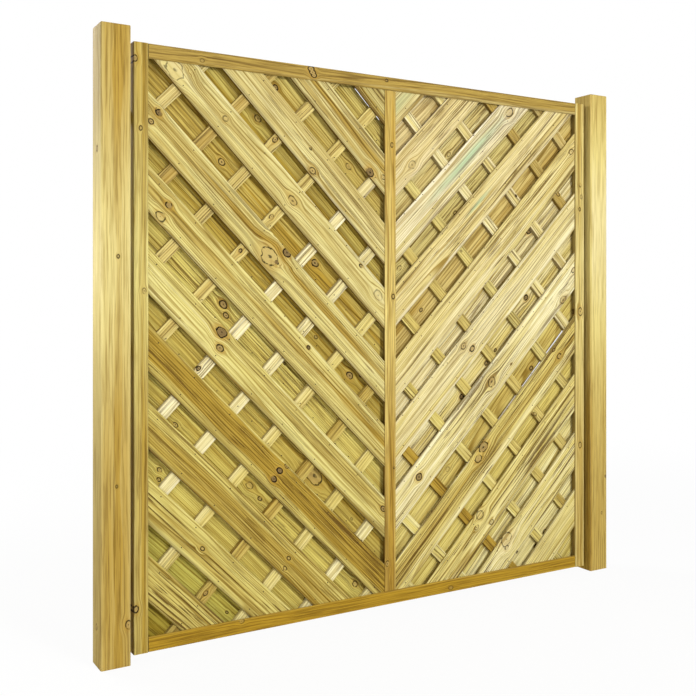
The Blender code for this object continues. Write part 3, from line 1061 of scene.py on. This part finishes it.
def extrude_bar(outline, length):
    """A bar along X from an outline of points through and across."""
    bm = bmesh.new()
    bm.verts.layers.float.new("crack")
    face = bm.faces.new([bm.verts.new((0, through, across)) for through, across in outline])
    draw_out(bm, [face], right * length)
    bmesh.ops.recalc_face_normals(bm, faces=bm.faces)
    return bm


def grow_tenons(bm, length, tenon_length):
    """Runs the web on at both ends, a little thinner than the groove it fits."""
    cut_at(bm, rear, (-groove_half, groove_half))
    for end, way in ((0, -1), (length, 1)):
        web = [
            f for f in bm.faces
            if abs(f.normal.x) > 0.9 and abs(f.calc_center_median().x - end) < close
            and abs(f.calc_center_median().y) < groove_half]
        corners = draw_out(bm, web, right * (way * tenon_length))
        bmesh.ops.delete(bm, geom=web, context="FACES_ONLY")
        for corner in corners:
            corner.co.y = math.copysign(tenon_half, corner.co.y)


def outer_rims(bm, inner):
    """The long arrises on the faces of a bar, at its inner or its outer side, not in the groove."""
    return [
        e for e in long_rims(bm)
        if abs(e.verts[0].co.y) > groove_half + close and (e.verts[0].co.z < 0) == inner]


def shoulder_points(name):
    """A bar's points that are neither on its tenons nor in its groove."""
    return [point for point in points_of(name) if abs(point.y) > groove_half + close]


def finish_bar(name, wood, bm, length, origin, run, out, unroll=lambda across, deep: across):
    """Gives a bar its stations, bow and splits, and hands it over in its place."""
    width = max(v.co.z for v in bm.verts) * 2
    numbers, splits = facts_of(name, length, width, timber_usual)
    cut_at(bm, right, [frame_station * n for n in range(1, int(length / frame_station) + 1)])
    for vert in bm.verts:
        wave = noise.noise((vert.co.x * 3.0, numbers["mood"][2], vert.co.y * 20))
        vert.co.y -= math.copysign(frame_bow * (1 + wave) / 2, vert.co.y)
    for split in splits:
        split_open(bm, split)
    bmesh.ops.transform(bm, matrix=place_along(origin, run, out), verts=bm.verts)
    piece = finish_piece(name + "_planed", bm, wood, numbers, origin, run, out, unroll)
    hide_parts(name)


# %% Stiles, rails and muntin
def size_of(name):
    low, high = (Vector(corner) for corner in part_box(name))
    return low, high, high - low


def make_stiles():
    for half, side in sides.items():
        name = f"stile_{half}"
        low, high, size = size_of(name)
        bm = extrude_bar(section(size.x, size.y), size.z)
        round_over(bm, outer_rims(bm, True) + outer_rims(bm, False), stile_round, 4)
        origin = Vector(((low.x + high.x) / 2, 0, high.z))
        finish_bar(name, "frame_wood", bm, size.z, origin, down, right * side)


def make_rails():
    shoulder = max(abs(point.x) for point in shoulder_points("rail_top"))
    for name, out in (("rail_top", up), ("rail_bottom", down)):
        low, high, size = size_of(name)
        bm = extrude_bar(section(size.z, size.y), 2 * shoulder)
        round_over(bm, outer_rims(bm, True), rail_chamfer, 1)
        round_over(bm, outer_rims(bm, False), light_ease, 3)
        grow_tenons(bm, 2 * shoulder, size.x / 2 - shoulder)
        origin = Vector((-shoulder, 0, (low.z + high.z) / 2))
        finish_bar(name, "frame_wood", bm, 2 * shoulder, origin, right, out)


def make_muntin():
    low, high, size = size_of("muntin")
    top = max(point.z for point in shoulder_points("muntin"))
    length = 2 * (top - (low.z + high.z) / 2)
    bm = extrude_bar(section(size.x, size.y, double=True), length)
    round_over(bm, outer_rims(bm, True) + outer_rims(bm, False), light_ease, 3)
    grow_tenons(bm, length, high.z - top)
    finish_bar("muntin", "frame_wood", bm, length, up * top, down, right)


make_stiles()
make_rails()
make_muntin()

# %% [markdown]
# ## Posts
#
# The posts are whole squared timbers, so their rings show as arcs on the sawn top. Their arrises
# are rounded more than the frame's, and the top is eased.

# %% Posts
post_round = 0.005
top_ease = 0.002
square = ((-1, -1), (-1, 1), (1, 1), (1, -1))


def make_posts():
    for half in sides:
        name = f"post_{half}"
        low, high, size = size_of(name)
        half_side = size.x / 2
        bm = extrude_bar([(y * half_side, z * half_side) for y, z in square], size.z)
        round_over(bm, long_rims(bm), post_round, 5)
        rim = [e for e in bm.edges if all(v.co.x > size.z - close for v in e.verts)]
        round_over(bm, rim, top_ease, 3)

        def unroll(across, deep):
            """Across, counted on round the post's sides and back."""
            if abs(across) < abs(deep):
                return across if deep < 0 else 4 * half_side - across
            return math.copysign(1, across) * (2 * half_side + deep)

        origin = Vector(((low.x + high.x) / 2, 0, 0))
        finish_bar(name, "post_wood", bm, size.z, origin, up, right, unroll)


make_posts()

# %% [markdown]
# ## Steel
#
# The brackets keep their solid shape and get a hot-dip zinc finish: large flat crystals, each a
# little lighter or darker, with duller patches where the zinc has weathered. The screws have the
# same metal, bright and finer. Nails are plain wire that has gone nearly black.

# %% Steel finishes
zinc = (shade(206, 210, 212), shade(158, 164, 168), shade(176, 178, 174))
wire = (shade(40, 34, 28), shade(78, 54, 34), shade(40, 34, 28))
zinc_relief = 0.0002


def steel(name, colours, crystal, patch, roughness, metallic):
    """Metal in flat crystals with worn patches. The crystals' size and the patches' are in metres."""
    light, dark, worn = colours
    bench = Bench(name)
    place = bench.lay("ShaderNodeTexCoord")["Object"]
    cells = bench.lay("ShaderNodeTexVoronoi", [("Vector", place), ("Scale", 1 / crystal)])
    pick = bench.parts(cells["Color"])[0]
    wear = bench.step(bench.cloud(place, 1 / patch, 1 / patch, 3.0), 0.45, 0.7, 0.0, 0.8)
    grain = bench.cloud(place, 3 / crystal, 3 / crystal)
    bench.join(bench.nodes["Principled BSDF"], (
        ("Base Color", bench.blend(wear, bench.blend(pick, light, dark), worn)),
        ("Roughness", (pick - 0.5) * 0.12 + roughness + wear * 0.2), ("Metallic", metallic),
        ("Normal", bench.bump(0.3, zinc_relief, pick * 0.4 + grain))))
    return bench.made


galvanised = steel(
    "galvanised_steel", zinc, crystal=0.006, patch=0.02, roughness=0.42, metallic=1.0)
screw_zinc = steel("screw_zinc", zinc, crystal=0.001, patch=0.003, roughness=0.3, metallic=1.0)
nail_wire = steel("nail_wire", wire, crystal=0.0008, patch=0.01, roughness=0.6, metallic=0.7)

brackets = sorted(name for name in solids if name.startswith("bracket_"))
for name in brackets:
    for slot in solids[name].material_slots:
        slot.material = galvanised
print("brackets with zinc:", len(brackets))

# %% [markdown]
# ## Bracket screws
#
# A pan-head screw is a turned head with a cross pressed into it. The cross is drawn first and
# pushed down, a ring of the head's outline is bridged to it, and the rest of the head is drawn out
# ring by ring. The shank stops in the wood.

# %% Screws
cross_arm, cross_half, cross_depth, cross_taper = 0.0021, 0.0005, 0.0011, 0.45
head_top = 0.0023
# Radius and height of each ring, from the head's top to the shank
screw_rings = (
    (0.0030, 0.0021), (0.0038, 0.0017), (0.0043, 0.0010), (0.0045, 0.0003), (0.0044, 0.0),
    (0.0020, 0.0), (0.0020, -0.0022))
ring_corners = 24
plate = 0.002
hole_from_free_end = 0.013
hole_share = 0.28


def draw_screw():
    """A screw that stands on Z = 0, where the bracket's face is, with its shank below."""
    bm = bmesh.new()
    a, b = cross_arm, cross_half
    outline = [(a, b), (b, b), (b, a)]
    for _ in range(3):
        outline += [(-y, x) for x, y in outline[-3:]]
    cross = bm.faces.new([bm.verts.new((x, y, head_top)) for x, y in outline])
    rim = cross.edges[:]
    bottom = draw_out(bm, [cross], down * cross_depth)
    bmesh.ops.scale(bm, vec=(cross_taper, cross_taper, 1), verts=bottom)
    bmesh.ops.delete(bm, geom=[cross], context="FACES_ONLY")
    radius, level = screw_rings[0]
    ring = bmesh.ops.create_circle(bm, segments=ring_corners, radius=radius)["verts"]
    bmesh.ops.translate(bm, vec=up * level, verts=ring)
    edges = list({e for v in ring for e in v.link_edges})
    bmesh.ops.bridge_loops(bm, edges=rim + edges)
    for radius, level in screw_rings[1:]:
        drawn = bmesh.ops.extrude_edge_only(bm, edges=edges)["geom"]
        edges = only(bmesh.types.BMEdge, drawn)
        for vert in only(bmesh.types.BMVert, drawn):
            vert.co = (*vert.co.xy.normalized() * radius, level)
    bmesh.ops.edgeloop_fill(bm, edges=edges)
    return bm


def hand_over(name, bm, finish, smooth_below=40):
    """Turns a worked metal piece into a named one."""
    piece = smoothed(name, bm, finish, smooth_below)
    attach(piece, "root")


def drive_screws():
    draw = random.Random("screws")
    for name in brackets:
        side = sides[half_of(name)]
        low, high, size = size_of(name)
        near, far = (high.x, low.x) if side < 0 else (low.x, high.x)
        on_panel = Vector((near + side * hole_from_free_end, low.y + plate, 0))
        on_post = Vector((far - side * plate, low.y + (plate + size.y) / 2, 0))
        to_rear = Matrix.Rotation(-math.pi / 2, 4, "X")
        to_panel = Matrix.Rotation(-side * math.pi / 2, 4, "Y")
        count = 0
        for place, turn in ((on_panel, to_rear), (on_post, to_panel)):
            for step in (-1, 1):
                count += 1
                place.z = (low.z + high.z) / 2 + step * hole_share * size.z
                spin = Matrix.Rotation(draw.uniform(0, math.pi), 4, "Z")
                bm = draw_screw()
                matrix = Matrix.Translation(place) @ turn @ spin
                bmesh.ops.transform(bm, matrix=matrix, verts=bm.verts)
                hand_over(f"{name}_screw_{count}", bm, screw_zinc)
    print("screws:", 4 * len(brackets))


drive_screws()

# %% [markdown]
# ## Nails
#
# Each board is nailed to every slat it crosses with two small nails, one near each edge. Only the
# heads show, so a nail is a flattened dome of few faces, half sunk into the board. A hand-held
# nailer never hits the same spot twice, so each lies a few millimetres off.
#
# One fault is left here. The test for the opening takes both halves for one, so 210 of the 625
# nails stand in the half that their board isn't in, on another board or in a gap. Comparing
# place.x * sides[half] with the opening, and not abs(place.x), would leave them out.

# %% Nails
nail_radius, nail_height = 0.0021, 0.0006
nail_from_edge, nail_scatter, nail_clear = 0.016, 0.006, 0.008
nail_smooth_below = 80
nail_size = Matrix.Diagonal((nail_radius, nail_height, nail_radius, 1))
nail_turn = Matrix.Rotation(math.pi / 2, 4, "X")
opening_low = Vector((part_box("muntin")[1][0], 0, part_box("rail_bottom")[1][2] + nail_clear))
opening_high = Vector((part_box("stile_right")[0][0], 0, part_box("rail_top")[0][2] - nail_clear))


def nail_boards(layer, way):
    """Nails through one layer of boards; way is -1 where the heads face the front."""
    total = 0
    for (kind, half, number), (axes, heights, depths) in sorted(board_places.items()):
        if kind != layer:
            continue
        across = grain_axes(sides[half], slat=True)[1]
        draw = random.Random(f"{layer} nails {half} {number}")
        bm = bmesh.new()
        for slat_middle in slat_middles[half]:
            for edge in (heights[0] + nail_from_edge, heights[1] - nail_from_edge):
                place = axes[1] * (edge + draw.uniform(-0.5, 0.5) * nail_scatter)
                place += across * (slat_middle + draw.uniform(-1, 1) * nail_scatter)
                inside = opening_low.x + nail_clear < abs(place.x) < opening_high.x - nail_clear
                if not inside or not opening_low.z < place.z < opening_high.z:
                    continue
                place.y = depths[0] if way < 0 else depths[1]
                bmesh.ops.create_uvsphere(
                    bm, u_segments=8, v_segments=5, radius=1,
                    matrix=Matrix.Translation(place) @ nail_size @ nail_turn)
                total += 1
        if bm.verts:
            name = f"{layer}_{half}_{number:02d}_nails"
            hand_over(name, bm, nail_wire, nail_smooth_below)
    print(layer, "nails:", total)


nail_boards("front_board", -1)
nail_boards("rear_board", 1)
